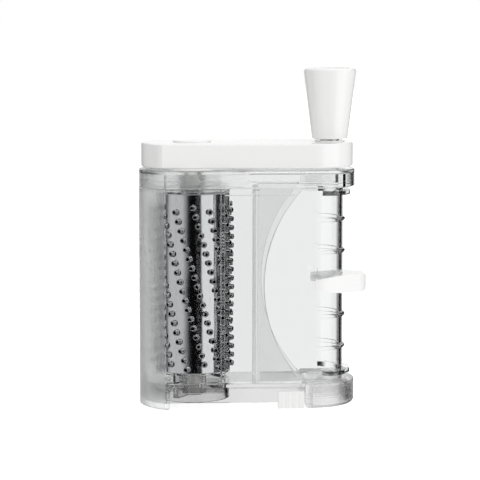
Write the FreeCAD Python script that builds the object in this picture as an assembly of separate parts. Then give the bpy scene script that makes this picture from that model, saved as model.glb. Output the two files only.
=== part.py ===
import FreeCAD, Part
import math
import os

# A hand-cranked drum grater for hard cheese, standing upright. All sizes are in
# millimetres, +Z is up and the front is towards -Y. The origin is on the table,
# below the middle of the whole object.

# Plan outline that the lid and the base share
END_ARC_R = 27.8          # left end, concentric with the drum
BODY_HALF_DEPTH = 23.5    # flat front and back, and the round right end
NOSE_END_FROM_DRUM = 61.5 # centre of the round right end, from the drum's axis
TAB_REACH = 91.3          # tip of the pull tab, from the drum's axis

# Heights
FOOT_LIFT = 3.0           # underside of the base between its feet
BASE_H = 12.8
HOUSING_TOP = 114.3
LID_H = 9.1
ARM_H = 12.6
NECK_H = 0.9
KNOB_H = 36.6

# Walls and clearances
WALL = 1.8
FLOOR_T = 2.0
RUNNING = 0.05            # radial play of a shaft in its bearing
SLIP = 0.3                # between bodies that pass each other
SEAT = 0.02               # play of a piece seated in another

# Cheese chamber and its curved cut-out
CHAMBER_HALF_DEPTH = 18.2
STEP_FROM_DRUM = 14.4     # where the drum chamber steps in to the cheese chamber
STEP_WALL = 1.8
RIM_T = 1.2               # rim outside the chamber walls, under the lid
RIM_H = 3.7
CUT_R = 73.0
CUT_FROM_DRUM = 36.9      # deepest point of the cut-out, from the drum's axis

# Drum
DRUM_R = 19.7
DRUM_T = 0.8
DRUM_LIFT = 5.2           # from the base's floor to the foot of the steel sleeve
DRUM_HEADROOM = 3.0       # from the top of the steel sleeve to the top of the housing
TOOTH_R = 1.4
TOOTH_TIP_R = 21.0
TOOTH_ROWS = 14
TOOTH_START = 6.9         # from the sleeve's top to the first tooth
TOOTH_MARGIN = 2.0        # plain sleeve below the last tooth
TOOTH_PITCH = 4.8
TOOTH_TWIST = 4.0         # degrees that a row winds from one tooth to the next
TOOTH_RAKE = 18.0         # degrees that a tooth leans into the cut
CAP_LIP = 1.0
CAP_PLUG = 2.0
CAP_HUB_R = 6.0
SHAFT_R = 3.0
BUSH_WALL = 1.5
BUSH_FLANGE_R = 6.5
BUSH_FLANGE_T = 1.2
HUB_R = 7.0               # bosses that hold the two bushes
WASHER_T = 0.9
OUTLET_R = 17.5
SPOKE_W = 3.0
SPOKE_COUNT = 3

# Pusher
PUSHER_HALF_DEPTH = 15.6
PUSHER_WALL = 1.8
PUSHER_NOSE_FROM_DRUM = 63.4
PRESS_FROM_DRUM = 32.0    # face of the press plate, from the drum's axis
PRESS_T = 2.6
SERRATION_PITCH = 1.7
SERRATION_DEPTH = 0.6
RIB_COUNT = 5
RIB_PITCH = 16.75
RIB_H = 1.4
RIB_PROUD = 1.1
LIP_R = 19.4
LIP_H = 2.4
LIP_START = 4.5           # lips begin this far past the nose's centre
RAIL_T = 1.5
RAIL_H = 1.6
RAIL_END_FROM_DRUM = 80.0
LID_RING_T = 1.5          # ring under the lid that fits inside the housing
LID_RING_GAP = 0.5        # between that ring and the drum's top cap
LID_ROUND = 0.8

# Pull ring
RING_R = 18.6
TAB_R = 8.5
RING_H = 5.2
TAB_H = 9.6
TAB_FULL_FROM_DRUM = 78.0
TAB_ROUND = 2.4
RING_PLAY = 0.08          # between the band and the clear nose

# Base latch
LATCH_START = 43.6        # from the drum's axis
LATCH_W = 13.9
LATCH_H = 9.2
LATCH_LOBES = 4
LATCH_LOBE_DEPTH = 0.5
LATCH_BROW = 1.2          # plain edge above the lobes
LATCH_ROUND = 0.5
LATCH_TRAVEL = 4.5
TONGUE_W = 3.6
TONGUE_Z = 4.9
TONGUE_H = 2.2
KEEPER_W = 8.0
KEEPER_T = 1.3
KEEPER_H = 4.8
BASE_RECESS = 2.2         # middle of the base behind its right foot
FOOT_WALL = 4.0
FOOT_ROUND = 2.4
GROOVE_START = -11.7      # level groove in the base's front, from the drum's axis
GROOVE_LENGTH = 27.5
GROOVE_H = 1.3
GROOVE_DEPTH = 0.8
GROOVE_Z = 8.6
FOOT_RETURN = 2.4         # the housing's foot runs on along the flat sides by this much

# Crank
ARM_HALF_DEPTH = 21.6
ARM_END_INSET = 1.0       # at both ends, inside the lid's outline
ARM_ROUND = 1.0
ARM_WALL = 2.0
NECK_R = 22.6
ARM_HUB_R = 9.0
CAP_SEAT_R = 7.0
CAP_SEAT_DEPTH = 3.6
HUB_CAP_R = 10.0
HUB_CAP_T = 0.8
HUB_CAP_ROUND = 0.4
HUB_CAP_PLUG = 0.8
SCREW_R = 1.6
SCREW_LENGTH = 9.0
SCREW_HEAD_R = 3.4
SCREW_HEAD_H = 1.9
SCREW_HEAD_ROUND = 0.7
CROSS_W = 0.8             # cross recess in the screw's head
CROSS_DEPTH = 1.1
SCREW_WASHER_R = 5.0
SCREW_WASHER_T = 0.6
CRANK_R = 71.8            # from the drum's axis to the knob's axis
KNOB_BOSS_R = 7.8
KNOB_BOSS_H = 0.7
KNOB_FOOT_R = 9.25
KNOB_TOP_R = 13.9
KNOB_RIM_ROUND = 1.6
KNOB_POCKET_R = 6.0
KNOB_CAP_R = 10.6
KNOB_CAP_T = 1.8
KNOB_CAP_SUNK = 0.3
DISH_R = 60.0             # shallow dish in the knob's cap
DISH_DEPTH = 0.7
AXLE_R = 2.5
AXLE_HEAD_R = 4.4
AXLE_HEAD_T = 1.4
AXLE_HEAD_GAP = 1.5       # between the head and the knob's cap
KNOB_WASHER_R = 5.0
KNOB_WASHER_T = 0.5

# Places worked out from the sizes above
AXIS_X = (END_ARC_R - TAB_REACH) / 2
NOSE_X = AXIS_X + PUSHER_NOSE_FROM_DRUM
RIGHT_X = AXIS_X + NOSE_END_FROM_DRUM
KNOB_X = AXIS_X + CRANK_R
CORNER_X = AXIS_X - math.sqrt(END_ARC_R ** 2 - BODY_HALF_DEPTH ** 2)
LID_TOP = HOUSING_TOP + LID_H
NECK_Z = LID_TOP + SLIP
ARM_Z = NECK_Z + NECK_H
ARM_TOP = ARM_Z + ARM_H
MIDDLE_Z = (BASE_H + HOUSING_TOP) / 2
DRUM_BOTTOM = BASE_H + DRUM_LIFT
DRUM_TOP = HOUSING_TOP - DRUM_HEADROOM
FIRST_TOOTH_Z = DRUM_TOP - TOOTH_START
TOOTH_LEVELS = int((FIRST_TOOTH_Z - DRUM_BOTTOM - TOOTH_MARGIN) / TOOTH_PITCH + 0.5)
FOOT_X = AXIS_X + LATCH_START + LATCH_W + SLIP
BUSH_R = SHAFT_R + RUNNING + BUSH_WALL
LOWER_BUSH_TOP = DRUM_BOTTOM - CAP_LIP - SLIP
UPPER_BUSH_BOTTOM = HOUSING_TOP
PUSHER_Z0 = BASE_H + SLIP
PUSHER_Z1 = HOUSING_TOP - SLIP
SCREW_SEAT_Z = ARM_TOP - CAP_SEAT_DEPTH
KNOB_Z = ARM_TOP + KNOB_BOSS_H + KNOB_WASHER_T + SLIP
KNOB_TOP = KNOB_Z + KNOB_H
AXLE_HEAD_Z = KNOB_TOP - KNOB_CAP_T - AXLE_HEAD_T - AXLE_HEAD_GAP
# The chamber walls end where the cut-out meets the lid, and the rails go on from there.
WALL_END_X = AXIS_X + CUT_FROM_DRUM + CUT_R - math.sqrt(CUT_R ** 2 - (HOUSING_TOP - MIDDLE_Z) ** 2)


def vec(x, y, z):
    return FreeCAD.Vector(x, y, z)


def box(x0, x1, y0, y1, z0, z1):
    return Part.makeBox(x1 - x0, y1 - y0, z1 - z0, vec(x0, y0, z0))


def disc(x, radius, z0, z1):
    """An upright cylinder on the plane y = 0."""
    return Part.makeCylinder(radius, z1 - z0, vec(x, 0, z0))


def tube(x, outer, inner, z0, z1):
    return disc(x, outer, z0, z1).cut(disc(x, inner, z0, z1))


def join(first, *rest):
    return first.fuse(list(rest)).removeSplitter()


def arc_ended(radius, half, x_end, z0, z1):
    """A slab of this half depth whose left end is an arc round the drum's axis."""
    arc = disc(AXIS_X, radius, z0, z1)
    slab = box(AXIS_X - radius, AXIS_X, -half, half, z0, z1)
    return join(arc.common(slab), box(AXIS_X, x_end, -half, half, z0, z1))


def drum_end(inset, x_end, z0, z1):
    """The left part of the body's outline, drawn in by inset, as far as x_end."""
    return arc_ended(END_ARC_R - inset, BODY_HALF_DEPTH - inset, x_end, z0, z1)


def outline(inset, z0, z1):
    """The whole plan outline of the lid, drawn in by inset."""
    round_end = disc(RIGHT_X, BODY_HALF_DEPTH - inset, z0, z1)
    return join(drum_end(inset, RIGHT_X, z0, z1), round_end)


def round_edges(shape, radius, wanted):
    edges = [edge for edge in shape.Edges if wanted(edge.BoundBox)]
    return shape.makeFillet(radius, edges)


def at_height(z):
    return lambda b: abs(b.ZMin - z) < 1e-4 and abs(b.ZMax - z) < 1e-4


def save(name, shape):
    shape.exportStep("parts/" + name + ".step")
    print(name, len(shape.Solids), round(shape.Volume, 1), shape.isValid())


def housing_shell():
    """Clear wall round the drum, stepping in to the two cheese chamber walls."""
    step_out = AXIS_X + STEP_FROM_DRUM + STEP_WALL
    step_in = AXIS_X + STEP_FROM_DRUM
    inner_half = CHAMBER_HALF_DEPTH - WALL
    cut_x = AXIS_X + CUT_FROM_DRUM + CUT_R
    body = drum_end(0, step_out, BASE_H, HOUSING_TOP)
    body = body.cut(drum_end(WALL, step_in, BASE_H, HOUSING_TOP))
    body = body.cut(box(step_in, step_out, -inner_half, inner_half, BASE_H, HOUSING_TOP))
    cutter = Part.makeCylinder(CUT_R, 2 * BODY_HALF_DEPTH, vec(cut_x, BODY_HALF_DEPTH, MIDDLE_Z),
                               vec(0, -1, 0))
    walls = []
    for side in (-1, 1):
        low, high = sorted((side * inner_half, side * CHAMBER_HALF_DEPTH))
        wall = box(step_in, WALL_END_X, low, high, BASE_H, HOUSING_TOP)
        low, high = sorted((side * CHAMBER_HALF_DEPTH, side * (CHAMBER_HALF_DEPTH + RIM_T)))
        rim = box(step_out, WALL_END_X, low, high, HOUSING_TOP - RIM_H, HOUSING_TOP)
        walls.append(join(wall, rim).cut(cutter))
    end_foot = drum_end(0, step_in, 0, BASE_H).cut(drum_end(WALL, step_out, 0, BASE_H))
    end_foot = end_foot.common(box(AXIS_X - END_ARC_R, CORNER_X + FOOT_RETURN,
                                   -END_ARC_R, END_ARC_R, 0, BASE_H))
    return join(body, end_foot, *walls)


def spokes(hub_r, rim_r, z0, z1):
    """Arms that carry a hub in the middle of an open ring."""
    arms = []
    for i in range(SPOKE_COUNT):
        arm = box(hub_r - 1, rim_r, -SPOKE_W / 2, SPOKE_W / 2, z0, z1)
        arm.rotate(vec(0, 0, 0), vec(0, 0, 1), i * 360 / SPOKE_COUNT)
        arm.translate(vec(AXIS_X, 0, 0))
        arms.append(arm)
    return arms


def rails(z0, z1):
    """A pair of ribs outside the pusher's straight sides, past the chamber's walls."""
    near = PUSHER_HALF_DEPTH + SLIP
    ribs = []
    for side in (-1, 1):
        low, high = sorted((side * near, side * (near + RAIL_T)))
        ribs.append(box(WALL_END_X + SLIP, AXIS_X + RAIL_END_FROM_DRUM, low, high, z0, z1))
    return ribs


def base_outline(inset, z0, z1):
    """Base without its right foot: set back in front, and inside the housing's end."""
    half = BODY_HALF_DEPTH - BASE_RECESS - inset
    return arc_ended(END_ARC_R - WALL - SLIP - inset, half, RIGHT_X, z0, z1)


def base_tray():
    """Clear base: floor, skirt, right foot, outlet under the drum and its bearing boss."""
    middle = base_outline(0, FOOT_LIFT, BASE_H)
    middle = middle.cut(base_outline(WALL, 0, BASE_H - FLOOR_T))
    past = box(FOOT_X, RIGHT_X + END_ARC_R, -END_ARC_R, END_ARC_R, 0, BASE_H)
    foot = outline(SEAT, 0, BASE_H).common(past)
    foot = round_edges(foot, FOOT_ROUND, at_height(0))
    hollow = outline(FOOT_WALL, 0, BASE_H - FLOOR_T).common(past)
    hollow = hollow.cut(box(FOOT_X, FOOT_X + FOOT_WALL, -END_ARC_R, END_ARC_R, 0, BASE_H))
    tray = join(middle.cut(past), foot.cut(hollow))
    tray = tray.cut(disc(AXIS_X, OUTLET_R, 0, BASE_H))
    chute = tube(AXIS_X, OUTLET_R + WALL, OUTLET_R, FOOT_LIFT, BASE_H)
    hub_top = LOWER_BUSH_TOP - BUSH_FLANGE_T
    hub = disc(AXIS_X, HUB_R, FOOT_LIFT + WALL, hub_top)
    arms = spokes(HUB_R, OUTLET_R + WALL / 2, FOOT_LIFT + WALL, BASE_H)
    tray = join(tray, chute, hub, *arms, *rails(BASE_H - FLOOR_T, BASE_H + RAIL_H))
    tray = tray.cut(disc(AXIS_X, BUSH_R + SEAT, FOOT_LIFT, hub_top))
    front = -BODY_HALF_DEPTH + BASE_RECESS
    slot_end = AXIS_X + LATCH_START + (LATCH_W + TONGUE_W) / 2 + SLIP
    slot_start = slot_end - TONGUE_W - LATCH_TRAVEL - 2 * SLIP
    tray = tray.cut(box(slot_start, slot_end, front - 1, front + WALL + 1,
                        TONGUE_Z - SLIP, TONGUE_Z + TONGUE_H + SLIP))
    start = AXIS_X + GROOVE_START
    half = GROOVE_H / 2
    groove = box(start, start + GROOVE_LENGTH, front - 1, front + GROOVE_DEPTH,
                 GROOVE_Z - half, GROOVE_Z + half)
    end = Part.makeCylinder(half, GROOVE_DEPTH + 1, vec(start, front - 1, GROOVE_Z), vec(0, 1, 0))
    return tray.cut(join(groove, end))


def lower_bearing():
    tube_z0 = FOOT_LIFT + WALL
    seat = LOWER_BUSH_TOP - BUSH_FLANGE_T
    stem = tube(AXIS_X, BUSH_R, SHAFT_R + RUNNING, tube_z0, seat)
    return join(stem, tube(AXIS_X, BUSH_FLANGE_R, SHAFT_R + RUNNING, seat, LOWER_BUSH_TOP))


def lid():
    """Clear cover with a skirt, a ring that fits inside the housing and two rails."""
    plate_z = LID_TOP - FLOOR_T
    shell = outline(0, HOUSING_TOP, LID_TOP)
    shell = round_edges(shell, LID_ROUND, lambda b: at_height(HOUSING_TOP)(b) or at_height(LID_TOP)(b))
    shell = shell.cut(outline(WALL, HOUSING_TOP, plate_z))
    ring_end = AXIS_X + STEP_FROM_DRUM - SLIP
    ring_z = DRUM_TOP + CAP_LIP + LID_RING_GAP
    ring = drum_end(WALL + SLIP, ring_end, ring_z, plate_z)
    ring = ring.cut(drum_end(WALL + SLIP + LID_RING_T, ring_end, ring_z, plate_z))
    boss = disc(AXIS_X, HUB_R, UPPER_BUSH_BOTTOM + BUSH_FLANGE_T, plate_z)
    cover = join(shell, ring, boss, *rails(HOUSING_TOP - RAIL_H, plate_z))
    return cover.cut(disc(AXIS_X, BUSH_R + SEAT, HOUSING_TOP, LID_TOP))


def upper_bearing():
    seat = UPPER_BUSH_BOTTOM + BUSH_FLANGE_T
    stem = tube(AXIS_X, BUSH_R, SHAFT_R + RUNNING, seat, LID_TOP)
    return join(stem, tube(AXIS_X, BUSH_FLANGE_R, SHAFT_R + RUNNING, UPPER_BUSH_BOTTOM, seat))


def drum_shell():
    """Steel sleeve with helical rows of round punched teeth."""
    sleeve = tube(AXIS_X, DRUM_R, DRUM_R - DRUM_T, DRUM_BOTTOM, DRUM_TOP)
    root = DRUM_R - DRUM_T / 2
    length = (TOOTH_TIP_R - root) / math.cos(math.radians(TOOTH_RAKE))
    teeth = []
    for row in range(TOOTH_ROWS):
        for level in range(TOOTH_LEVELS):
            angle = math.radians(row * 360 / TOOTH_ROWS + level * TOOTH_TWIST)
            lean = angle - math.radians(TOOTH_RAKE)
            z = FIRST_TOOTH_Z - (level + row % 2 / 2) * TOOTH_PITCH
            foot = vec(AXIS_X + root * math.sin(angle), -root * math.cos(angle), z)
            teeth.append(Part.makeCylinder(TOOTH_R, length, foot, vec(math.sin(lean), -math.cos(lean), 0)))
    bore = disc(AXIS_X, DRUM_R - DRUM_T, DRUM_BOTTOM, DRUM_TOP)
    return sleeve.fuse(teeth).cut(bore)


def drum_top_cap():
    plug = disc(AXIS_X, DRUM_R - DRUM_T - SEAT, DRUM_TOP - CAP_PLUG, DRUM_TOP)
    lip = disc(AXIS_X, DRUM_R, DRUM_TOP, DRUM_TOP + CAP_LIP)
    hub = disc(AXIS_X, CAP_HUB_R, DRUM_TOP, UPPER_BUSH_BOTTOM - SLIP - WASHER_T)
    return join(plug, lip, hub).cut(disc(AXIS_X, SHAFT_R + SEAT, DRUM_TOP - CAP_PLUG, LID_TOP))


def drum_bottom_cap():
    """Open ring on three spokes, so that the gratings fall through."""
    opening = DRUM_R - DRUM_T - WALL
    z0 = DRUM_BOTTOM - CAP_LIP
    z1 = DRUM_BOTTOM + CAP_PLUG
    plug = disc(AXIS_X, DRUM_R - DRUM_T - SEAT, DRUM_BOTTOM, z1)
    ring = join(plug, disc(AXIS_X, DRUM_R, z0, DRUM_BOTTOM)).cut(disc(AXIS_X, opening, z0, z1))
    hub = disc(AXIS_X, CAP_HUB_R, z0, z1)
    cap = join(ring, hub, *spokes(CAP_HUB_R, opening + WALL / 2, z0, z1))
    return cap.cut(disc(AXIS_X, SHAFT_R + SEAT, z0, z1))


def drum_shaft():
    """Steel shaft from the lower bearing to the crank, tapped at the top."""
    shaft = disc(AXIS_X, SHAFT_R, FOOT_LIFT + WALL, SCREW_SEAT_Z)
    return shaft.cut(disc(AXIS_X, SCREW_R + SEAT, SCREW_SEAT_Z - SCREW_LENGTH - 1, SCREW_SEAT_Z))


def thrust_washer():
    top = UPPER_BUSH_BOTTOM - SLIP
    return tube(AXIS_X, CAP_HUB_R, SHAFT_R + SEAT, top - WASHER_T, top)


def crank_collar():
    return tube(AXIS_X, NECK_R, SHAFT_R + SEAT, NECK_Z, ARM_Z)


def arm_outline(inset, z0, z1):
    half = ARM_HALF_DEPTH - inset
    end_x = RIGHT_X + BODY_HALF_DEPTH - ARM_END_INSET - ARM_HALF_DEPTH
    slab = arc_ended(END_ARC_R - ARM_END_INSET - inset, half, end_x, z0, z1)
    return join(slab, disc(end_x, half, z0, z1))


def crank_arm():
    """Hollow white moulding with a hub for the shaft and a boss for the knob's axle."""
    body = arm_outline(0, ARM_Z, ARM_TOP)
    body = round_edges(body, ARM_ROUND, lambda b: at_height(ARM_Z)(b) or at_height(ARM_TOP)(b))
    body = body.cut(arm_outline(ARM_WALL, ARM_Z, ARM_TOP - ARM_WALL))
    hub = disc(AXIS_X, ARM_HUB_R, ARM_Z, ARM_TOP)
    inner_boss = disc(KNOB_X, KNOB_BOSS_R, ARM_Z + ARM_WALL, ARM_TOP + KNOB_BOSS_H)
    body = join(body, hub, inner_boss)
    body = body.cut(disc(AXIS_X, CAP_SEAT_R, SCREW_SEAT_Z, ARM_TOP))
    body = body.cut(disc(AXIS_X, SHAFT_R + SEAT, ARM_Z, ARM_TOP))
    return body.cut(disc(KNOB_X, AXLE_R + SEAT, ARM_Z, KNOB_Z))


def crank_washer():
    return tube(AXIS_X, SCREW_WASHER_R, SCREW_R + SEAT, SCREW_SEAT_Z, SCREW_SEAT_Z + SCREW_WASHER_T)


def crank_screw():
    """Pan head screw with a cross recess."""
    seat = SCREW_SEAT_Z + SCREW_WASHER_T
    shank = disc(AXIS_X, SCREW_R, seat - SCREW_LENGTH, seat)
    head = disc(AXIS_X, SCREW_HEAD_R, seat, seat + SCREW_HEAD_H)
    top = seat + SCREW_HEAD_H
    head = round_edges(head, SCREW_HEAD_ROUND, at_height(top))
    reach = SCREW_HEAD_R * 0.6
    half = CROSS_W / 2
    slot = box(AXIS_X - reach, AXIS_X + reach, -half, half, top - CROSS_DEPTH, top)
    cross = box(AXIS_X - half, AXIS_X + half, -reach, reach, top - CROSS_DEPTH, top)
    return join(shank, head).cut(slot).cut(cross)


def hub_cap():
    top = ARM_TOP + HUB_CAP_T
    cover = round_edges(disc(AXIS_X, HUB_CAP_R, ARM_TOP, top), HUB_CAP_ROUND, at_height(top))
    return join(cover, disc(AXIS_X, CAP_SEAT_R - SEAT, ARM_TOP - HUB_CAP_PLUG, ARM_TOP))


def knob_axle():
    stem = disc(KNOB_X, AXLE_R, ARM_Z + ARM_WALL, AXLE_HEAD_Z)
    return join(stem, disc(KNOB_X, AXLE_HEAD_R, AXLE_HEAD_Z, AXLE_HEAD_Z + AXLE_HEAD_T))


def knob_washer():
    z0 = ARM_TOP + KNOB_BOSS_H
    return tube(KNOB_X, KNOB_WASHER_R, AXLE_R + SEAT, z0, z0 + KNOB_WASHER_T)


def knob_bush():
    return tube(KNOB_X, AXLE_R + RUNNING + BUSH_WALL, AXLE_R + RUNNING, KNOB_Z, AXLE_HEAD_Z - SLIP)


def crank_knob():
    """Tapered white knob, wider at the top, bored for its bush and hollowed for its cap."""
    cone = Part.makeCone(KNOB_FOOT_R, KNOB_TOP_R, KNOB_H, vec(KNOB_X, 0, KNOB_Z))
    cone = round_edges(cone, KNOB_RIM_ROUND, at_height(KNOB_TOP))
    cone = round_edges(cone, KNOB_RIM_ROUND / 2, at_height(KNOB_Z))
    bush_r = AXLE_R + RUNNING + BUSH_WALL + SEAT
    pocket_z = AXLE_HEAD_Z - SLIP
    cone = cone.cut(disc(KNOB_X, bush_r, KNOB_Z, pocket_z))
    cone = cone.cut(disc(KNOB_X, KNOB_POCKET_R, pocket_z, KNOB_TOP))
    return cone.cut(disc(KNOB_X, KNOB_CAP_R, KNOB_TOP - KNOB_CAP_T, KNOB_TOP))


def knob_cap():
    """Shallow dished cap that covers the axle's head."""
    top = KNOB_TOP - KNOB_CAP_SUNK
    plate = disc(KNOB_X, KNOB_CAP_R - SEAT, KNOB_TOP - KNOB_CAP_T, top)
    return plate.cut(Part.makeSphere(DISH_R, vec(KNOB_X, 0, top + DISH_R - DISH_DEPTH)))


def nose(radius, inset_x, z0, z1):
    """Half round on the pusher's nose, moved outwards by inset_x."""
    return disc(NOSE_X + inset_x, radius, z0, z1)


def pusher_plan(inset, z0, z1):
    half = PUSHER_HALF_DEPTH - inset
    start = AXIS_X + PRESS_FROM_DRUM + PRESS_T
    return join(box(start, NOSE_X, -half, half, z0, z1), nose(half, 0, z0, z1))


def rib_heights():
    middle = (RIB_COUNT - 1) / 2
    return [MIDDLE_Z + (i - middle) * RIB_PITCH for i in range(RIB_COUNT)]


def pusher_shell():
    """Clear U-shaped pusher with crescent ribs round its nose and a lip near each end."""
    inner = pusher_plan(PUSHER_WALL, PUSHER_Z0, PUSHER_Z1)
    shell = pusher_plan(0, PUSHER_Z0, PUSHER_Z1)
    rounds = []
    for z in rib_heights():
        rounds.append(nose(PUSHER_HALF_DEPTH, RIB_PROUD, z - RIB_H / 2, z + RIB_H / 2))
    past = box(NOSE_X + LIP_START, NOSE_X + 2 * LIP_R, -LIP_R, LIP_R, PUSHER_Z0, PUSHER_Z1)
    low = BASE_H + RAIL_H + SLIP
    high = HOUSING_TOP - RAIL_H - SLIP
    for z in (low, high - LIP_H):
        rounds.append(nose(LIP_R, 0, z, z + LIP_H).common(past))
    return join(shell, *rounds).cut(inner)


def press_plate():
    """Flat plate that bears on the cheese, with fine level serrations."""
    x0 = AXIS_X + PRESS_FROM_DRUM
    x1 = x0 + PRESS_T
    z0 = PUSHER_Z0
    count = int((PUSHER_Z1 - z0) / SERRATION_PITCH)
    points = [vec(x1, 0, z0), vec(x0 + SERRATION_DEPTH, 0, z0)]
    for i in range(count):
        z = z0 + i * SERRATION_PITCH
        points.append(vec(x0, 0, z + SERRATION_PITCH / 2))
        points.append(vec(x0 + SERRATION_DEPTH, 0, z + SERRATION_PITCH))
    points.append(vec(x1, 0, z0 + count * SERRATION_PITCH))
    points.append(points[0])
    plate = Part.Face(Part.makePolygon(points)).extrude(vec(0, 2 * PUSHER_HALF_DEPTH, 0))
    plate.translate(vec(0, -PUSHER_HALF_DEPTH, 0))
    return plate


def pull_ring():
    """White band round the nose, growing into a pull tab."""
    tab_x = AXIS_X + TAB_REACH - TAB_R
    span = tab_x - NOSE_X
    slope = math.asin((RING_R - TAB_R) / span)
    z0, z1 = MIDDLE_Z - TAB_H / 2, MIDDLE_Z + TAB_H / 2
    near = (NOSE_X + RING_R * math.sin(slope), RING_R * math.cos(slope))
    far = (tab_x + TAB_R * math.sin(slope), TAB_R * math.cos(slope))
    corners = [(NOSE_X, -near[1]), (near[0], -near[1]), (far[0], -far[1]),
               (far[0], far[1]), (near[0], near[1]), (NOSE_X, near[1])]
    points = [vec(x, y, z0) for x, y in corners + corners[:1]]
    web = Part.Face(Part.makePolygon(points)).extrude(vec(0, 0, TAB_H))
    band = join(nose(RING_R, 0, z0, z1), web, disc(tab_x, TAB_R, z0, z1))
    full_x = AXIS_X + TAB_FULL_FROM_DRUM
    end_x = AXIS_X + TAB_REACH
    half = RING_H / 2
    side = [(NOSE_X, MIDDLE_Z - half), (full_x, z0), (end_x, z0),
            (end_x, z1), (full_x, z1), (NOSE_X, MIDDLE_Z + half)]
    points = [vec(x, -RING_R - 1, z) for x, z in side + side[:1]]
    taper = Part.Face(Part.makePolygon(points)).extrude(vec(0, 2 * RING_R + 2, 0))
    taper = round_edges(taper, TAB_ROUND, lambda b: b.XMin > end_x - 1e-3 and b.ZMax - b.ZMin < 1e-3)
    band = band.common(taper)
    inside = PUSHER_HALF_DEPTH + RING_PLAY
    band = band.cut(nose(inside, 0, z0, z1))
    play = RIB_H / 2 + RING_PLAY
    return band.cut(nose(inside, RIB_PROUD, MIDDLE_Z - play, MIDDLE_Z + play))


def base_latch():
    """White slide: ribbed thumb pad, a tongue through the skirt and a keeper behind it."""
    x0 = AXIS_X + LATCH_START
    front = -BODY_HALF_DEPTH
    skirt = front + BASE_RECESS
    middle = x0 + LATCH_W / 2
    pad = box(x0, x0 + LATCH_W, front, skirt - SLIP, 0, LATCH_H)
    pad = round_edges(pad, LATCH_ROUND, lambda b: b.YMax < front + 1e-3 and b.XMax - b.XMin < 1e-3)
    pitch = LATCH_W / LATCH_LOBES
    grooves = []
    for i in range(LATCH_LOBES - 1):
        x = x0 + (i + 1) * pitch
        grooves.append(Part.makeCylinder(LATCH_LOBE_DEPTH, LATCH_H - LATCH_BROW, vec(x, front, 0)))
    pad = pad.cut(grooves)
    tongue = box(middle - TONGUE_W / 2, middle + TONGUE_W / 2, skirt - SLIP, skirt + WALL + SLIP,
                 TONGUE_Z, TONGUE_Z + TONGUE_H)
    keeper_z = TONGUE_Z + TONGUE_H / 2 - KEEPER_H / 2
    keeper = box(middle - KEEPER_W / 2, middle + KEEPER_W / 2, skirt + WALL + SLIP,
                 skirt + WALL + SLIP + KEEPER_T, keeper_z, keeper_z + KEEPER_H)
    return join(pad, tongue, keeper)


os.makedirs("parts", exist_ok=True)
for make in (housing_shell, base_tray, lower_bearing, lid, upper_bearing, drum_shell, drum_top_cap,
             drum_bottom_cap, drum_shaft, thrust_washer, crank_collar, crank_arm, crank_washer,
             crank_screw, hub_cap, knob_axle, knob_washer, knob_bush, crank_knob, knob_cap,
             pusher_shell, press_plate, pull_ring, base_latch):
    save(make.__name__, make())
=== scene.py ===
import math

import bmesh
import bpy
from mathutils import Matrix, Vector


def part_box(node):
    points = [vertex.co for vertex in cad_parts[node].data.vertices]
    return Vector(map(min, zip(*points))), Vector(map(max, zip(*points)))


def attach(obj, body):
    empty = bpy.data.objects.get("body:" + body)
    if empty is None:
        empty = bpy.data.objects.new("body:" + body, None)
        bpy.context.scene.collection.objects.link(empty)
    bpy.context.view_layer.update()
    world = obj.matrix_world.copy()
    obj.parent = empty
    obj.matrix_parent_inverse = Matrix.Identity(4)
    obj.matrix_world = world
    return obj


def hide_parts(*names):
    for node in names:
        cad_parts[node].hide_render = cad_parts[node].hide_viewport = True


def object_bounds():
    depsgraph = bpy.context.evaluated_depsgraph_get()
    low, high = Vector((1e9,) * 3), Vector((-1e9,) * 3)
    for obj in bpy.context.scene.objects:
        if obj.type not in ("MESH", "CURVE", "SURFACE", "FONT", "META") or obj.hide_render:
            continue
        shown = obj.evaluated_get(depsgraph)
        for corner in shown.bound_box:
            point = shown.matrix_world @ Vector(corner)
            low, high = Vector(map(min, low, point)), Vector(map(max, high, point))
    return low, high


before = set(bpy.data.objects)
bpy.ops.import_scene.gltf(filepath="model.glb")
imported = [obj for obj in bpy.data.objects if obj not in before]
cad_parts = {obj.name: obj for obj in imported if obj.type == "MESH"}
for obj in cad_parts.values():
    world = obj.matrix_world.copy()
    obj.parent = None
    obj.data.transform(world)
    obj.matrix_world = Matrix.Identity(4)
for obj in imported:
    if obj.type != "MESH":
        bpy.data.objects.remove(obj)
cad_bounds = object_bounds()


# ---------------------------------------------------------------- base tray and its latch
# The base is one clear styrene moulding: a floor with a skirt, a round foot on the right and
# an open spider under the drum that carries the lower bush. Its foot is lightly frosted, and
# a small ribbed white slide in its front locks it to the housing.

def add_node(tree, kind, place=(0, 0), **settings):
    node = tree.nodes.new(kind)
    node.location = place
    for key, value in settings.items():
        setattr(node, key, value)
    return node


def new_material(name, slot_color, metallic=0.0, ior=1.49):
    """A new material with its tree and its Principled shader, whose patterns are added later."""
    material = bpy.data.materials.new(name)
    material.use_nodes = True
    shader = material.node_tree.nodes["Principled BSDF"]
    shader.inputs["Base Color"].default_value = (*slot_color, 1)
    shader.inputs["Metallic"].default_value = metallic
    shader.inputs["IOR"].default_value = ior
    material.diffuse_color = (*slot_color, 1)
    return material, material.node_tree, shader


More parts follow.
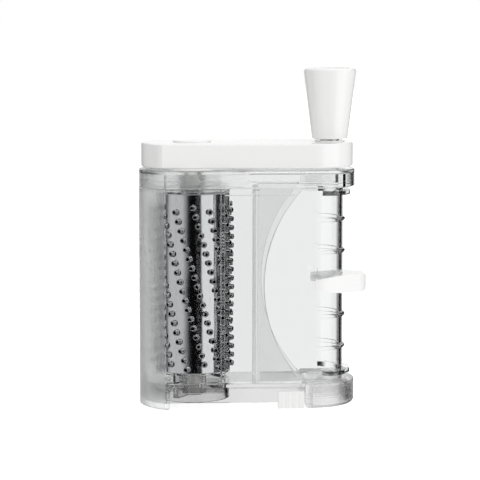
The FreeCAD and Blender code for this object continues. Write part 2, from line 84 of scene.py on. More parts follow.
def moulded_surface_group():
    """Fine waviness of a polished mould: a roughness that drifts and a very shallow bump."""
    group = bpy.data.node_groups.new("moulded_surface", "ShaderNodeTree")
    face = group.interface
    for name, value in (("Low Roughness", 0.05), ("High Roughness", 0.1),
                        ("Wave Size", 60.0), ("Bump Height", 0.00002)):
        face.new_socket(name, in_out="INPUT", socket_type="NodeSocketFloat").default_value = value
    face.new_socket("Roughness", in_out="OUTPUT", socket_type="NodeSocketFloat")
    face.new_socket("Normal", in_out="OUTPUT", socket_type="NodeSocketVector")
    inputs = add_node(group, "NodeGroupInput", (-800, 0))
    outputs = add_node(group, "NodeGroupOutput", (400, 0))
    place = add_node(group, "ShaderNodeTexCoord", (-800, 200))
    noise = add_node(group, "ShaderNodeTexNoise", (-500, 100))
    noise.inputs["Detail"].default_value = 3
    spread = add_node(group, "ShaderNodeMapRange", (-200, 200))
    bump = add_node(group, "ShaderNodeBump", (-200, -200))
    link = group.links.new
    link(place.outputs["Object"], noise.inputs["Vector"])
    link(inputs.outputs["Wave Size"], noise.inputs["Scale"])
    link(noise.outputs["Fac"], spread.inputs["Value"])
    link(inputs.outputs["Low Roughness"], spread.inputs["To Min"])
    link(inputs.outputs["High Roughness"], spread.inputs["To Max"])
    link(noise.outputs["Fac"], bump.inputs["Height"])
    link(inputs.outputs["Bump Height"], bump.inputs["Distance"])
    link(spread.outputs["Result"], outputs.inputs["Roughness"])
    link(bump.outputs["Normal"], outputs.inputs["Normal"])
    return group


moulded_surface = moulded_surface_group()


def use_mould(tree, shader, low, high, waves, height):
    """Places the moulded surface group in a material and joins it to the shader."""
    node = add_node(tree, "ShaderNodeGroup", (-300, 0), node_tree=moulded_surface)
    for name, value in (("Low Roughness", low), ("High Roughness", high),
                        ("Wave Size", waves), ("Bump Height", height)):
        node.inputs[name].default_value = value
    tree.links.new(node.outputs["Roughness"], shader.inputs["Roughness"])
    tree.links.new(node.outputs["Normal"], shader.inputs["Normal"])


def flow_streaks_group():
    """Streaks that the melt leaves in a thick clear wall: they bend and blur what is behind."""
    group = bpy.data.node_groups.new("flow_streaks", "ShaderNodeTree")
    face = group.interface
    face.new_socket("Stretch", in_out="INPUT", socket_type="NodeSocketVector")
    for name, value in (("Starts At", 0.0), ("Ends At", 1.0), ("Depth", 0.0003), ("Low Roughness", 0.03),
                        ("High Roughness", 0.25)):
        face.new_socket(name, in_out="INPUT", socket_type="NodeSocketFloat").default_value = value
    face.new_socket("Roughness", in_out="OUTPUT", socket_type="NodeSocketFloat")
    face.new_socket("Normal", in_out="OUTPUT", socket_type="NodeSocketVector")
    inputs = add_node(group, "NodeGroupInput", (-1000, 0))
    outputs = add_node(group, "NodeGroupOutput", (600, 0))
    place = add_node(group, "ShaderNodeTexCoord", (-1000, 300))
    split = add_node(group, "ShaderNodeSeparateXYZ", (-800, 300))
    where = add_node(group, "ShaderNodeMapRange", (-500, 300), interpolation_type="SMOOTHSTEP")
    stretched = add_node(group, "ShaderNodeVectorMath", (-800, 0), operation="MULTIPLY")
    noise = add_node(group, "ShaderNodeTexNoise", (-500, 0))
    noise.inputs["Scale"].default_value = 1.0
    noise.inputs["Detail"].default_value = 3
    height = add_node(group, "ShaderNodeMath", (-200, 0), operation="MULTIPLY")
    bump = add_node(group, "ShaderNodeBump", (200, -100))
    rough = add_node(group, "ShaderNodeMapRange", (200, 300))
    link = group.links.new
    link(place.outputs["Object"], split.inputs["Vector"])
    link(place.outputs["Object"], stretched.inputs[0])
    link(inputs.outputs["Stretch"], stretched.inputs[1])
    link(stretched.outputs["Vector"], noise.inputs["Vector"])
    link(split.outputs["X"], where.inputs["Value"])
    link(inputs.outputs["Starts At"], where.inputs["From Min"])
    link(inputs.outputs["Ends At"], where.inputs["From Max"])
    link(noise.outputs["Fac"], height.inputs[0])
    link(where.outputs["Result"], height.inputs[1])
    link(height.outputs["Value"], bump.inputs["Height"])
    link(inputs.outputs["Depth"], bump.inputs["Distance"])
    link(where.outputs["Result"], rough.inputs["Value"])
    link(inputs.outputs["Low Roughness"], rough.inputs["To Min"])
    link(inputs.outputs["High Roughness"], rough.inputs["To Max"])
    link(rough.outputs["Result"], outputs.inputs["Roughness"])
    link(bump.outputs["Normal"], outputs.inputs["Normal"])
    return group


flow_streaks = flow_streaks_group()


def streaked_styrene(name, tint, stretch, start, end, depth, low, high):
    """Clear styrene with flow streaks that grow from start to end along X."""
    material, tree, shader = new_material(name, tint, ior=1.45)
    shader.inputs["Transmission Weight"].default_value = 1.0
    node = add_node(tree, "ShaderNodeGroup", (-300, 0), node_tree=flow_streaks)
    node.inputs["Stretch"].default_value = stretch
    for socket, value in (("Starts At", start), ("Ends At", end), ("Depth", depth),
                          ("Low Roughness", low), ("High Roughness", high)):
        node.inputs[socket].default_value = value
    tree.links.new(node.outputs["Roughness"], shader.inputs["Roughness"])
    tree.links.new(node.outputs["Normal"], shader.inputs["Normal"])
    return material


def clear_styrene(name, low, high):
    material, tree, shader = new_material(name, (0.97, 0.975, 0.975), ior=1.45)
    shader.inputs["Transmission Weight"].default_value = 1.0
    use_mould(tree, shader, low, high, waves=45.0, height=0.00001)
    return material


def polished(node, body, material, rounding=0.0, ease=0.0):
    """A finished copy of a CAD node: its triangles merged, its edges rounded, its curves smooth.

    The ease draws its faces in a little, so that air stays between it and the clear part round it.
    """
    bm = bmesh.new()
    bm.from_mesh(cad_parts[node].data)
    bmesh.ops.remove_doubles(bm, verts=bm.verts, dist=1e-6)
    bmesh.ops.dissolve_limit(bm, angle_limit=math.radians(0.3), verts=bm.verts, edges=bm.edges)
    bm.verts.index_update()
    bm.normal_update()
    drawn_in = [v.co - v.normal * ease for v in bm.verts]
    mesh = bpy.data.meshes.new(node + "_finish")
    mesh.from_pydata([c[:] for c in drawn_in], [], [[v.index for v in f.verts] for f in bm.faces])
    bm.free()
    mesh.shade_smooth()
    mesh.set_sharp_from_angle(angle=math.radians(28))
    mesh.materials.append(material)
    piece = bpy.data.objects.new(node + "_finish", mesh)
    bpy.context.collection.objects.link(piece)
    if rounding:
        bevel = piece.modifiers.new("rounding", "BEVEL")
        bevel.width = rounding
        bevel.segments = 2
        bevel.limit_method = "ANGLE"
        bevel.angle_limit = math.radians(32)
        bevel.use_clamp_overlap = True
        piece.modifiers.new("even_shading", "WEIGHTED_NORMAL").keep_sharp = False
    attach(piece, body)
    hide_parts(node)


def fill_ramp(ramp, stops):
    """Sets a colour ramp to greys, from (position, value) stops."""
    while len(ramp.elements) < len(stops):
        ramp.elements.new(0.5)
    for element, (position, value) in zip(ramp.elements, stops):
        element.position = position
        element.color = (value, value, value, 1)


def ranged(tree, place, start, end, low=0.0, high=1.0):
    """A Map Range node that turns the range from start to end into the one from low to high."""
    node = add_node(tree, "ShaderNodeMapRange", place)
    for name, value in (("From Min", start), ("From Max", end), ("To Min", low), ("To Max", high)):
        node.inputs[name].default_value = value
    return node


def painted_shade_along_x(material, start, end, stops):
    """Greys the base colour from start to end along X: painted shade, darker towards -X."""
    tree = material.node_tree
    place = add_node(tree, "ShaderNodeTexCoord", (-1100, 400))
    split = add_node(tree, "ShaderNodeSeparateXYZ", (-900, 400))
    across = ranged(tree, (-700, 400), start, end)
    tint = add_node(tree, "ShaderNodeValToRGB", (-500, 400))
    fill_ramp(tint.color_ramp, stops)
    tree.links.new(place.outputs["Object"], split.inputs["Vector"])
    tree.links.new(split.outputs["X"], across.inputs["Value"])
    tree.links.new(across.outputs["Result"], tint.inputs["Fac"])
    tree.links.new(tint.outputs["Color"], tree.nodes["Principled BSDF"].inputs["Base Color"])


base_low, base_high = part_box("base_tray")
frost_starts, frost_ends = 0.0, 0.04
base_styrene = streaked_styrene("base_styrene", (0.86, 0.865, 0.865), (14, 14, 520),
                                frost_starts, frost_ends, depth=0.0004, low=0.05, high=0.24)
# Painted shade: the base's colour is greyed towards its -X end.
painted_shade_along_x(base_styrene, base_low.x, base_high.x,
             [(0.0, 0.74), (0.4, 0.76), (0.5, 0.81), (0.8, 0.81), (0.95, 0.8)])
polished("base_tray", "housing", base_styrene, rounding=0.0004)


def white_gloss(name, low, high, waves, height):
    material, tree, shader = new_material(name, (0.93, 0.93, 0.925), ior=1.5)
    shader.inputs["Coat Weight"].default_value = 0.35
    shader.inputs["Coat Roughness"].default_value = 0.08
    use_mould(tree, shader, low, high, waves, height)
    return material


latch_white = white_gloss("latch_white", low=0.28, high=0.38, waves=300.0, height=0.00001)
polished("base_latch", "latch", latch_white, rounding=0.00025)

# ---------------------------------------------------------------- bushes
# Bushes of plain white acetal: one in the base's spider and one in the lid for the drum's
# shaft, and one in the knob. A washer of the same plastic sits on top of the drum.
acetal, acetal_tree, acetal_shader = new_material("acetal", (0.88, 0.88, 0.85))
use_mould(acetal_tree, acetal_shader, low=0.4, high=0.5, waves=400.0, height=0.00001)
bush_air = 0.00002
for bush, body in (("lower_bearing", "housing"), ("upper_bearing", "lid"), ("thrust_washer", "rotor"),
                   ("knob_bush", "knob")):
    polished(bush, body, acetal, ease=bush_air)

# ---------------------------------------------------------------- housing
# The clear housing is moulded with a grained, frosted round end and polished flat walls. The
# walls step in beside the drum and end in a long curved cut-out that bares the pusher.
housing_low, housing_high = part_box("housing_shell")
shaft_low, shaft_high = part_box("drum_shaft")
axis_x = (shaft_low.x + shaft_high.x) / 2
end_radius = axis_x - housing_low.x
half_depth = housing_high.y
corner_x = axis_x - math.sqrt(end_radius ** 2 - half_depth ** 2)


def frosted_styrene():
    """Clear styrene that turns to a grained frost left of the housing's corner edges."""
    material, tree, shader = new_material("housing_styrene", (0.945, 0.95, 0.95), ior=1.45)
    shader.inputs["Transmission Weight"].default_value = 1.0
    place = add_node(tree, "ShaderNodeTexCoord", (-1100, 0))
    split = add_node(tree, "ShaderNodeSeparateXYZ", (-900, 0))
    half_blend = 0.0002
    frost = ranged(tree, (-700, 0), corner_x + half_blend, corner_x - half_blend)
    grain = add_node(tree, "ShaderNodeTexNoise", (-900, -300))
    grain.inputs["Scale"].default_value = 900.0
    grain.inputs["Detail"].default_value = 2
    rough = ranged(tree, (-400, 0), 0.0, 1.0, low=0.03, high=0.34)
    streaks = add_node(tree, "ShaderNodeMapping", (-1100, -500))
    streaks.inputs["Scale"].default_value = (420, 420, 6)
    flow = add_node(tree, "ShaderNodeTexNoise", (-900, -500))
    flow.inputs["Scale"].default_value = 1.0
    flow.inputs["Detail"].default_value = 2
    flow_share = 2.5
    both = add_node(tree, "ShaderNodeMath", (-800, -400), operation="MULTIPLY_ADD")
    both.inputs[1].default_value = flow_share
    height = add_node(tree, "ShaderNodeMath", (-700, -300), operation="MULTIPLY")
    bump = add_node(tree, "ShaderNodeBump", (-400, -300))
    bump.inputs["Distance"].default_value = 0.00012
    link = tree.links.new
    link(place.outputs["Object"], split.inputs["Vector"])
    link(place.outputs["Object"], grain.inputs["Vector"])
    link(split.outputs["X"], frost.inputs["Value"])
    link(frost.outputs["Result"], rough.inputs["Value"])
    link(frost.outputs["Result"], height.inputs[0])
    link(place.outputs["Object"], streaks.inputs["Vector"])
    link(streaks.outputs["Vector"], flow.inputs["Vector"])
    link(flow.outputs["Fac"], both.inputs[0])
    link(grain.outputs["Fac"], both.inputs[2])
    link(both.outputs["Value"], height.inputs[1])
    link(height.outputs["Value"], bump.inputs["Height"])
    link(rough.outputs["Result"], shader.inputs["Roughness"])
    link(bump.outputs["Normal"], shader.inputs["Normal"])
    return material


polished("housing_shell", "housing", frosted_styrene(), rounding=0.00055)

# ---------------------------------------------------------------- grating drum
# The drum is a sleeve rolled from polished stainless sheet, which leaves it slightly wavy. Its
# teeth are punched outwards as short round crowns, in leaning rows staggered by half a pitch.
# Each tooth's pit is painted near black, as painted shade in the hollow.
# The teeth's steel is painted darker than the sleeve's, as painted shade.
cap_low, cap_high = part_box("drum_top_cap")
drum_radius = (cap_high.x - cap_low.x) / 2
sleeve_low, sleeve_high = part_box("drum_shell")
hair = 0.0001
tip_radius = axis_x - sleeve_low.x - hair
tooth_radius = 0.00145
tooth_root = 0.0004
tooth_height = tip_radius - drum_radius + tooth_root
tooth_rows = 14
tooth_levels = 18
tooth_pitch = 0.0048
tooth_start = 0.0069
tooth_twist = math.radians(4.0)
tooth_lean = math.radians(18.0)


def steel(name, color, low, high, stretch):
    """Polished steel with faint drawing lines along one direction."""
    material, tree, shader = new_material(name, color, metallic=1.0)
    place = add_node(tree, "ShaderNodeTexCoord", (-1100, 0))
    mapping = add_node(tree, "ShaderNodeMapping", (-900, 0))
    mapping.inputs["Scale"].default_value = stretch
    lines = add_node(tree, "ShaderNodeTexNoise", (-700, 0))
    lines.inputs["Scale"].default_value = 90.0
    lines.inputs["Detail"].default_value = 4
    rough = ranged(tree, (-400, 0), 0.0, 1.0, low, high)
    bump = add_node(tree, "ShaderNodeBump", (-400, -300))
    bump.inputs["Distance"].default_value = 0.00001
    link = tree.links.new
    link(place.outputs["Object"], mapping.inputs["Vector"])
    link(mapping.outputs["Vector"], lines.inputs["Vector"])
    link(lines.outputs["Fac"], rough.inputs["Value"])
    link(lines.outputs["Fac"], bump.inputs["Height"])
    link(rough.outputs["Result"], shader.inputs["Roughness"])
    link(bump.outputs["Normal"], shader.inputs["Normal"])
    return material


def lathe(name, profile, centre_x, steps, closed=True):
    """Turns a profile of (radius, height) points, closed or open, about an upright axis."""
    count = len(profile)
    points = []
    for s in range(steps):
        angle = 2 * math.pi * s / steps
        points += [(centre_x + r * math.cos(angle), r * math.sin(angle), z) for r, z in profile]
    faces = []
    for s in range(steps):
        a, b = s * count, (s + 1) % steps * count
        for k in range(count if closed else count - 1):
            n = (k + 1) % count
            faces.append((a + k, b + k, b + n, a + n))
    mesh = bpy.data.meshes.new(name)
    mesh.from_pydata(points, [], faces)
    bm = bmesh.new()
    bm.from_mesh(mesh)
    bmesh.ops.remove_doubles(bm, verts=bm.verts, dist=1e-7)
    bmesh.ops.recalc_face_normals(bm, faces=bm.faces)
    bm.to_mesh(mesh)
    bm.free()
    mesh.shade_smooth()
    mesh.set_sharp_from_angle(angle=math.radians(40))
    piece = bpy.data.objects.new(name, mesh)
    bpy.context.collection.objects.link(piece)
    return piece


def colour_mix(tree, place):
    """The sockets of a Mix node for colours: its factor, its two colours and what comes out."""
    node = add_node(tree, "ShaderNodeMix", place, data_type="RGBA")
    return {"factor": node.inputs[0], "first": node.inputs[6], "second": node.inputs[7],
            "mixed": node.outputs[2]}


drum_steel = steel("drum_steel", (0.80, 0.81, 0.82), low=0.06, high=0.14, stretch=(0.3, 0.3, 14.0))
sleeve_tree = drum_steel.node_tree
drawn_lines = next(node for node in sleeve_tree.nodes if node.type == "BUMP")
waves = add_node(sleeve_tree, "ShaderNodeTexNoise", (-700, -600))
waves.inputs["Scale"].default_value = 38.0
waves.inputs["Detail"].default_value = 1
rolling = add_node(sleeve_tree, "ShaderNodeBump", (-400, -600))
rolling.inputs["Distance"].default_value = 0.0011
sleeve_place = next(node for node in sleeve_tree.nodes if node.type == "TEX_COORD")
sleeve_tree.links.new(sleeve_place.outputs["Object"], waves.inputs["Vector"])
sleeve_tree.links.new(waves.outputs["Fac"], rolling.inputs["Height"])
sleeve_tree.links.new(rolling.outputs["Normal"], drawn_lines.inputs["Normal"])
# The teeth are the sleeve's steel painted darker: painted shade, so that they catch less light.
tooth_shaded_grey = (0.4, 0.4, 0.41)
# Each tooth's pit is painted near black: painted shade inside the hollow crown.
pit_shade_grey = (0.02, 0.02, 0.02)
tooth_steel = steel("tooth_steel", tooth_shaded_grey, low=0.14, high=0.24, stretch=(1, 1, 1))
tooth_tree = tooth_steel.node_tree
pit = add_node(tooth_tree, "ShaderNodeAttribute", (-700, 400), attribute_name="pit")
pit_shade = colour_mix(tooth_tree, (-300, 400))
pit_shade["first"].default_value = (*tooth_shaded_grey, 1)
pit_shade["second"].default_value = (*pit_shade_grey, 1)
tooth_tree.links.new(pit.outputs["Fac"], pit_shade["factor"])
tooth_tree.links.new(pit_shade["mixed"], tooth_tree.nodes["Principled BSDF"].inputs["Base Color"])

tooth_profile = [(0.0, 0.1), (0.4, 0.12), (0.5, 0.5), (0.62, 0.95), (0.76, 1.0), (0.92, 0.92), (1.0, 0.7),
                 (1.0, 0.3), (1.1, 0.1), (1.25, 0.0)]
tooth = lathe("tooth_pattern", [(r * tooth_radius, h * tooth_height) for r, h in tooth_profile],
              0.0, steps=12, closed=False)
# The pit mask marks where that painted shade goes: the points near the tooth's middle.
pit_share = 0.55
pit_radius = tooth_radius * pit_share
inside = tooth.data.attributes.new("pit", "FLOAT", "POINT")
for vertex, value in zip(tooth.data.vertices, inside.data):
    value.value = 1.0 if math.hypot(vertex.co.x, vertex.co.y) < pit_radius else 0.0


def teeth_tree():
    """Places a tooth at every step of every helical row round the drum."""
    tree = bpy.data.node_groups.new("drum_teeth", "GeometryNodeTree")
    face = tree.interface
    face.new_socket("Geometry", in_out="INPUT", socket_type="NodeSocketGeometry")
    for name in ("Rows", "Levels"):
        face.new_socket(name, in_out="INPUT", socket_type="NodeSocketInt")
    for name in ("Radius", "Pitch", "Twist", "Lean", "Top", "Axis X"):
        face.new_socket(name, in_out="INPUT", socket_type="NodeSocketFloat")
    face.new_socket("Tooth", in_out="INPUT", socket_type="NodeSocketObject")
    face.new_socket("Steel", in_out="INPUT", socket_type="NodeSocketMaterial")
    face.new_socket("Geometry", in_out="OUTPUT", socket_type="NodeSocketGeometry")
    inputs = add_node(tree, "NodeGroupInput", (-1600, 0))
    outputs = add_node(tree, "NodeGroupOutput", (1000, 0))
    link = tree.links.new

    def maths(operation, a, b=None):
        node = add_node(tree, "ShaderNodeMath", operation=operation)
        for socket, value in zip(node.inputs, (a, b)):
            if isinstance(value, (int, float)):
                socket.default_value = value
            elif value is not None:
                link(value, socket)
        return node.outputs["Value"]

    index = add_node(tree, "GeometryNodeInputIndex", (-1600, -300)).outputs["Index"]
    rows, levels = inputs.outputs["Rows"], inputs.outputs["Levels"]
    row = maths("FLOOR", maths("DIVIDE", index, levels))
    level = maths("MODULO", index, levels)
    turn = maths("DIVIDE", maths("MULTIPLY", row, 2 * math.pi), rows)
    angle = maths("ADD", turn, maths("MULTIPLY", level, inputs.outputs["Twist"]))
    stagger = maths("MULTIPLY", maths("MODULO", row, 2), 0.5)
    drop = maths("MULTIPLY", maths("ADD", level, stagger), inputs.outputs["Pitch"])
    height = maths("SUBTRACT", inputs.outputs["Top"], drop)
    across = maths("MULTIPLY", maths("SINE", angle), inputs.outputs["Radius"])
    x = maths("ADD", across, inputs.outputs["Axis X"])
    y = maths("MULTIPLY", maths("MULTIPLY", maths("COSINE", angle), inputs.outputs["Radius"]), -1)
    place = add_node(tree, "ShaderNodeCombineXYZ", (-200, 200))
    link(x, place.inputs["X"])
    link(y, place.inputs["Y"])
    link(height, place.inputs["Z"])
    points = add_node(tree, "GeometryNodePoints", (0, 200))
    link(maths("MULTIPLY", rows, levels), points.inputs["Count"])
    link(place.outputs["Vector"], points.inputs["Position"])
    heading = maths("SUBTRACT", maths("SUBTRACT", angle, inputs.outputs["Lean"]), math.pi / 2)
    euler = add_node(tree, "ShaderNodeCombineXYZ", (-200, -200))
    euler.inputs["Y"].default_value = math.pi / 2
    link(heading, euler.inputs["Z"])
    turned = add_node(tree, "FunctionNodeEulerToRotation", (0, -200))
    link(euler.outputs["Vector"], turned.inputs["Euler"])
    shape = add_node(tree, "GeometryNodeObjectInfo", (0, -400))
    link(inputs.outputs["Tooth"], shape.inputs["Object"])
    spread = add_node(tree, "GeometryNodeInstanceOnPoints", (300, 0))
    link(points.outputs["Points"], spread.inputs["Points"])
    link(shape.outputs["Geometry"], spread.inputs["Instance"])
    link(turned.outputs["Rotation"], spread.inputs["Rotation"])
    real = add_node(tree, "GeometryNodeRealizeInstances", (500, 0))
    link(spread.outputs["Instances"], real.inputs["Geometry"])
    coat = add_node(tree, "GeometryNodeSetMaterial", (700, 0))
    link(real.outputs["Geometry"], coat.inputs["Geometry"])
    link(inputs.outputs["Steel"], coat.inputs["Material"])
    link(coat.outputs["Geometry"], outputs.inputs["Geometry"])
    return tree


def grown(name, tree, values):
    """Runs a node tree with these inputs and returns its result as a plain mesh piece."""
    holder = bpy.data.objects.new(name + "_holder", bpy.data.meshes.new(name + "_holder"))
    bpy.context.collection.objects.link(holder)
    modifier = holder.modifiers.new(name, "NODES")
    modifier.node_group = tree
    for item in tree.interface.items_tree:
        if item.in_out == "INPUT" and item.name in values:
            modifier[item.identifier] = values[item.name]
    bpy.context.view_layer.update()
    made = holder.evaluated_get(bpy.context.evaluated_depsgraph_get())
    mesh = bpy.data.meshes.new_from_object(made)
    mesh.name = name
    piece = bpy.data.objects.new(name, mesh)
    bpy.context.collection.objects.link(piece)
    bpy.data.objects.remove(holder)
    return piece


teeth = grown("drum_teeth", teeth_tree(), {
    "Rows": tooth_rows, "Levels": tooth_levels, "Radius": drum_radius - hair, "Pitch": tooth_pitch,
    "Twist": tooth_twist, "Lean": tooth_lean, "Top": sleeve_high.z - tooth_start,
    "Axis X": axis_x, "Tooth": tooth, "Steel": tooth_steel})
bpy.data.objects.remove(tooth)

sheet = 0.0008
rolled = 0.0003
sleeve = lathe("drum_sleeve", [
    (drum_radius - sheet, sleeve_low.z), (drum_radius - rolled, sleeve_low.z),
    (drum_radius, sleeve_low.z + rolled), (drum_radius, sleeve_high.z - rolled),
    (drum_radius - rolled, sleeve_high.z), (drum_radius - sheet, sleeve_high.z)], axis_x, steps=128)
sleeve.data.materials.append(drum_steel)
for piece in (sleeve, teeth):
    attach(piece, "rotor")
    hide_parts("drum_shell")

# ---------------------------------------------------------------- drum caps, shaft and washers
# Clear end caps close the sleeve: the upper one is a disc with a hub, the lower one an open
# ring on three spokes. A turned steel shaft runs through both into the crank. The crank's
# screw, the knob's axle and their washers are turned from the same steel.
cap_styrene = clear_styrene("cap_styrene", low=0.03, high=0.08)
for cap in ("drum_top_cap", "drum_bottom_cap"):
    polished(cap, "rotor", cap_styrene)
shaft_steel = steel("shaft_steel", (0.66, 0.67, 0.68), low=0.22, high=0.36, stretch=(1, 1, 30))
for turned_part in ("drum_shaft", "crank_screw", "crank_washer", "knob_axle", "knob_washer"):
    polished(turned_part, "rotor", shaft_steel)

# ---------------------------------------------------------------- lid
# The lid is a clear moulding with the same outline as the base. A ring under it drops into
# the housing, and two rails guide the top of the pusher.
clear_from, streaks_from = axis_x + 0.031, axis_x + 0.024
lid_styrene = streaked_styrene("lid_styrene", (0.95, 0.955, 0.955), (16, 16, 460),
                               clear_from, streaks_from, depth=0.0008, low=0.03, high=0.22)
polished("lid", "lid", lid_styrene, rounding=0.0003)

# ---------------------------------------------------------------- pusher, press plate, pull ring
# The pusher is a clear U that slides in the cheese chamber, ribbed round its nose for grip,
# with a serrated plate that bears on the cheese and a white ring to pull it back by.
pusher_low, pusher_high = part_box("pusher_shell")
plate_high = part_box("press_plate")[1]
nose_radius = plate_high.y
rib_proud = 0.0011
rib_height = 0.0022
rib_taper = 0.8
wall = 0.0018
lip_radius = 0.0194
lip_height = 0.0024
lip_start = 0.0045
lip_run = 0.35
nose_x = pusher_high.x - lip_radius
rib_spacing = 0.01675
lower_lip_up = 0.0028
upper_lip_down = 0.004
ring_low, ring_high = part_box("pull_ring")
middle_z = (ring_low.z + ring_high.z) / 2
rib_levels = [middle_z + step * rib_spacing for step in (-2, -1, 0, 1, 2)]
lip_levels = [pusher_low.z + lower_lip_up, pusher_high.z - upper_lip_down]


def pusher_wall():
    """The U-shaped wall as a closed skin whose outside swells into beads on the round nose."""
    soft = 0.0002
    levels = {pusher_low.z + soft, pusher_high.z - soft}
    for z in rib_levels:
        levels.update(z + rib_height / 2 * math.sin(math.radians(a)) for a in range(-90, 91, 15))
    for z in lip_levels:
        levels.update((z - hair, z + hair, z + lip_height - hair, z + lip_height + hair))
    levels = sorted(levels)
    turns = 72

    def station(radius_at, inset, z):
        """Points of one level, from the front's left end round the nose to the back's left end."""
        half = nose_radius - inset
        row = [(plate_high.x, -half, z), ((plate_high.x + nose_x) / 2, -half, z)]
        for i in range(turns + 1):
            angle = math.pi * i / turns - math.pi / 2
            radius = radius_at(angle)
            row.append((nose_x + radius * math.cos(angle), radius * math.sin(angle), z))
        return row + [((plate_high.x + nose_x) / 2, half, z), (plate_high.x, half, z)]

    def outside(angle, z):
        if any(low < z < low + lip_height for low in lip_levels):
            grown_out = min(max((math.cos(angle) - lip_start / lip_radius) / lip_run, 0.0), 1.0)
            return nose_radius + (lip_radius - nose_radius) * math.sin(grown_out * math.pi / 2)
        for centre_z in rib_levels:
            rise = 1 - ((z - centre_z) / (rib_height / 2)) ** 2
            if rise > 0:
                return nose_radius + rib_proud * math.sqrt(rise) * max(math.cos(angle), 0.0) ** rib_taper
        return nose_radius

    bottom, top = levels[0] - soft, levels[-1] + soft
    rings = [(bottom, soft)] + [(z, 0.0) for z in levels] + [(top, soft)]
    rows = [station(lambda angle, z=z, cut=cut: outside(angle, z) - cut, cut, z) for z, cut in rings]
    inner = nose_radius - wall
    for z in (top, bottom):
        rows.append(station(lambda angle: inner, wall, z))
    count = len(rows[0])
    points = [p for row in rows for p in row]
    faces = []
    for k in range(len(rows)):
        a, b = k * count, (k + 1) % len(rows) * count
        faces += [(a + i, a + i + 1, b + i + 1, b + i) for i in range(count - 1)]
    for end in (0, count - 1):
        faces.append([k * count + end for k in range(len(rows))])
    mesh = bpy.data.meshes.new("pusher_wall")
    mesh.from_pydata(points, [], faces)
    bm = bmesh.new()
    bm.from_mesh(mesh)
    bmesh.ops.recalc_face_normals(bm, faces=bm.faces)
    bm.to_mesh(mesh)
    bm.free()
    mesh.shade_smooth()
    mesh.set_sharp_from_angle(angle=math.radians(40))
    piece = bpy.data.objects.new("pusher_wall", mesh)
    bpy.context.collection.objects.link(piece)
    return piece


pusher_styrene = clear_styrene("pusher_styrene", low=0.01, high=0.04)
pusher = pusher_wall()
pusher.data.materials.append(pusher_styrene)
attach(pusher, "pusher")
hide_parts("pusher_shell")
polished("press_plate", "pusher", pusher_styrene, rounding=0.00015)
ring_white = white_gloss("ring_white", low=0.2, high=0.3, waves=120.0, height=0.00001)
ring_air = 0.00003
polished("pull_ring", "pusher", ring_white, rounding=0.0006, ease=ring_air)

# ---------------------------------------------------------------- crank
# The crank is a hollow white moulding with the lid's outline, raised on a round collar. A
# screw under the hub cap holds it on the shaft.
crank_white = white_gloss("crank_white", low=0.16, high=0.24, waves=60.0, height=0.00001)
for part in ("crank_arm", "crank_collar", "hub_cap"):
    polished(part, "rotor", crank_white)

# ---------------------------------------------------------------- knob
# The knob tapers down to its foot and turns on a fixed steel axle. A dished cap closes its
# top; its bush and its washer are made above, with the other bushes and turned parts.
knob_white = white_gloss("knob_white", low=0.16, high=0.24, waves=60.0, height=0.00001)
for part in ("crank_knob", "knob_cap"):
    polished(part, "knob", knob_white)

# ---------------------------------------------------------------- floor, light and camera
# A plain white sweep, lit all round, with dark cards in front and at the sides that give
# clear plastic and steel their dark lines. The camera looks slightly down from 1.1 m away.
floor_drop = 0.0002
bpy.ops.mesh.primitive_plane_add(size=8, location=(0, 0, -floor_drop))
floor = bpy.context.object
floor.name = "floor"
floor_material, _, floor_shader = new_material("floor_white", (0.9, 0.9, 0.9))
floor_shader.inputs["Roughness"].default_value = 0.9
floor_shader.inputs["Specular IOR Level"].default_value = 0.0
floor_shader.inputs["Emission Color"].default_value = (1, 1, 1, 1)
floor_shader.inputs["Emission Strength"].default_value = 0.6
floor.data.materials.append(floor_material)
floor.visible_diffuse = False
floor.visible_glossy = False
floor.visible_transmission = False


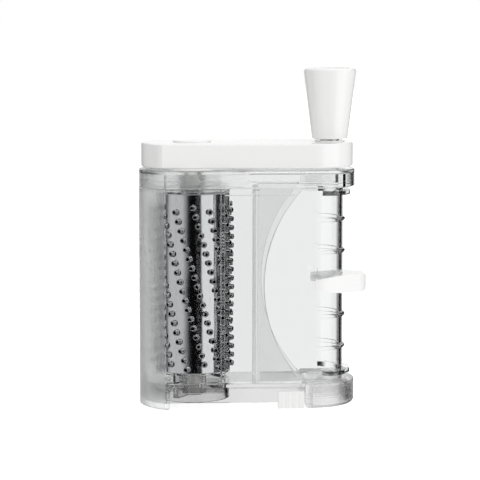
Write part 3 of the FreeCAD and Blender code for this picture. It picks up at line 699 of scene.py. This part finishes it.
def card_world():
    """White all round, with dark stretches by compass direction; 0 degrees faces the camera.

    Light that matt surfaces have scattered meets a plain surround instead, dimmer on the left.
    """
    world = bpy.data.worlds.new("studio")
    bpy.context.scene.world = world
    world.use_nodes = True
    tree = world.node_tree
    link = tree.links.new
    back = tree.nodes["Background"]
    place = add_node(tree, "ShaderNodeTexCoord", (-1200, 0))
    split = add_node(tree, "ShaderNodeSeparateXYZ", (-1000, 0))
    away = add_node(tree, "ShaderNodeMath", (-800, -100), operation="MULTIPLY")
    away.inputs[1].default_value = -1
    azimuth = add_node(tree, "ShaderNodeMath", (-600, 0), operation="ARCTAN2")
    around = ranged(tree, (-400, 0), -math.pi, math.pi)
    cards = add_node(tree, "ShaderNodeValToRGB", (-200, 0))
    stops = [(-180, 1.0), (-158, 1.0), (-150, 0.08), (-142, 0.08), (-134, 0.6), (-102, 0.55), (-97, 0.02),
             (-84, 0.02), (-80, 0.7), (-30, 0.65), (-10, 0.004), (25, 0.004), (29, 1.0), (74, 1.0),
             (80, 0.008), (156, 0.008), (164, 1.0), (180, 1.0)]
    fill_ramp(cards.color_ramp, [(degrees / 360 + 0.5, value) for degrees, value in stops])
    card_centre, card_reach, card_fade = -0.06, 0.5, 0.1
    tilt = add_node(tree, "ShaderNodeMath", (-800, -300), operation="SUBTRACT")
    tilt.inputs[1].default_value = card_centre
    lift = add_node(tree, "ShaderNodeMath", (-600, -300), operation="ABSOLUTE")
    sky = ranged(tree, (-400, -300), card_reach, card_reach + card_fade)
    ceiling = ranged(tree, (-200, -500), 0.5, 0.7, low=0.9, high=1.5)
    # Straight below the part it is darker, as where a clear edge meets the table.
    under = ranged(tree, (-200, -700), -0.8, -0.5, low=0.35)
    dome = add_node(tree, "ShaderNodeMath", (0, -500), operation="MULTIPLY")
    room = colour_mix(tree, (100, 0))
    sight = add_node(tree, "ShaderNodeLightPath", (-200, 500))
    # The surround for scattered light: dimmer towards -X, a little brighter from the table.
    shade = ranged(tree, (-400, 300), -0.9, -0.3, low=0.35, high=0.98)
    table = ranged(tree, (-400, 150), -0.4, 0.0, low=1.15)
    lit = add_node(tree, "ShaderNodeMath", (-200, 200), operation="MULTIPLY")
    scattered = add_node(tree, "ShaderNodeMath", (0, 500), operation="GREATER_THAN")
    scattered.inputs[1].default_value = 0.5
    surround = colour_mix(tree, (200, 200))
    backdrop = colour_mix(tree, (400, 0))
    backdrop["second"].default_value = (1, 1, 1, 1)
    link(place.outputs["Generated"], split.inputs["Vector"])
    link(split.outputs["X"], azimuth.inputs[0])
    link(split.outputs["Y"], away.inputs[0])
    link(away.outputs["Value"], azimuth.inputs[1])
    link(azimuth.outputs["Value"], around.inputs["Value"])
    link(around.outputs["Result"], cards.inputs["Fac"])
    link(split.outputs["Z"], tilt.inputs[0])
    link(split.outputs["Z"], ceiling.inputs["Value"])
    link(split.outputs["Z"], under.inputs["Value"])
    link(ceiling.outputs["Result"], dome.inputs[0])
    link(under.outputs["Result"], dome.inputs[1])
    link(dome.outputs["Value"], room["second"])
    link(tilt.outputs["Value"], lift.inputs[0])
    link(lift.outputs["Value"], sky.inputs["Value"])
    link(sky.outputs["Result"], room["factor"])
    link(cards.outputs["Color"], room["first"])
    link(split.outputs["X"], shade.inputs["Value"])
    link(sight.outputs["Diffuse Depth"], scattered.inputs[0])
    link(scattered.outputs["Value"], surround["factor"])
    link(room["mixed"], surround["first"])
    link(split.outputs["Z"], table.inputs["Value"])
    link(shade.outputs["Result"], lit.inputs[0])
    link(table.outputs["Result"], lit.inputs[1])
    link(lit.outputs["Value"], surround["second"])
    link(sight.outputs["Is Camera Ray"], backdrop["factor"])
    link(surround["mixed"], backdrop["first"])
    link(backdrop["mixed"], back.inputs["Color"])
    world.cycles.sampling_method = "NONE"


card_world()


def soft_box(name, place, target, size, power):
    light = bpy.data.lights.new(name, "AREA")
    light.shape = "RECTANGLE"
    light.size, light.size_y = size
    light.energy = power
    lamp = bpy.data.objects.new(name, light)
    lamp.location = place
    lamp.rotation_euler = (Vector(target) - Vector(place)).to_track_quat("-Z", "Y").to_euler()
    lamp.visible_camera = False
    lamp.visible_glossy = False
    lamp.visible_transmission = False
    bpy.context.collection.objects.link(lamp)


part_low, part_high = cad_bounds
centre = (part_low + part_high) / 2
soft_box("overhead", (0.0, -0.1, 0.9), centre, size=(0.9, 0.6), power=0.5)
soft_box("front_fill", (0.1, -1.3, 0.35), centre, size=(1.4, 1.0), power=0.3)

camera = bpy.data.objects.new("camera", bpy.data.cameras.new("camera"))
bpy.context.collection.objects.link(camera)
bpy.context.scene.camera = camera
azimuth, elevation, distance = math.radians(-2.5), math.radians(6.5), 1.1
target = Vector((-0.00675, 0.0, 0.0855))
back = Vector((math.sin(azimuth) * math.cos(elevation), -math.cos(azimuth) * math.cos(elevation),
               math.sin(elevation)))
camera.location = target + back * distance
camera.rotation_mode = "QUATERNION"
camera.rotation_quaternion = (-back).to_track_quat("-Z", "Y")
sensor_width, view_width = 36, 0.2515
camera.data.lens = sensor_width * distance / view_width
bpy.context.scene.view_settings.view_transform = "Standard"
light_paths = bpy.context.scene.cycles
light_paths.max_bounces = 28
light_paths.transmission_bounces = 28
light_paths.glossy_bounces = 12
light_paths.diffuse_bounces = 6
light_paths.blur_glossy = 0.0

bpy.context.view_layer.update()
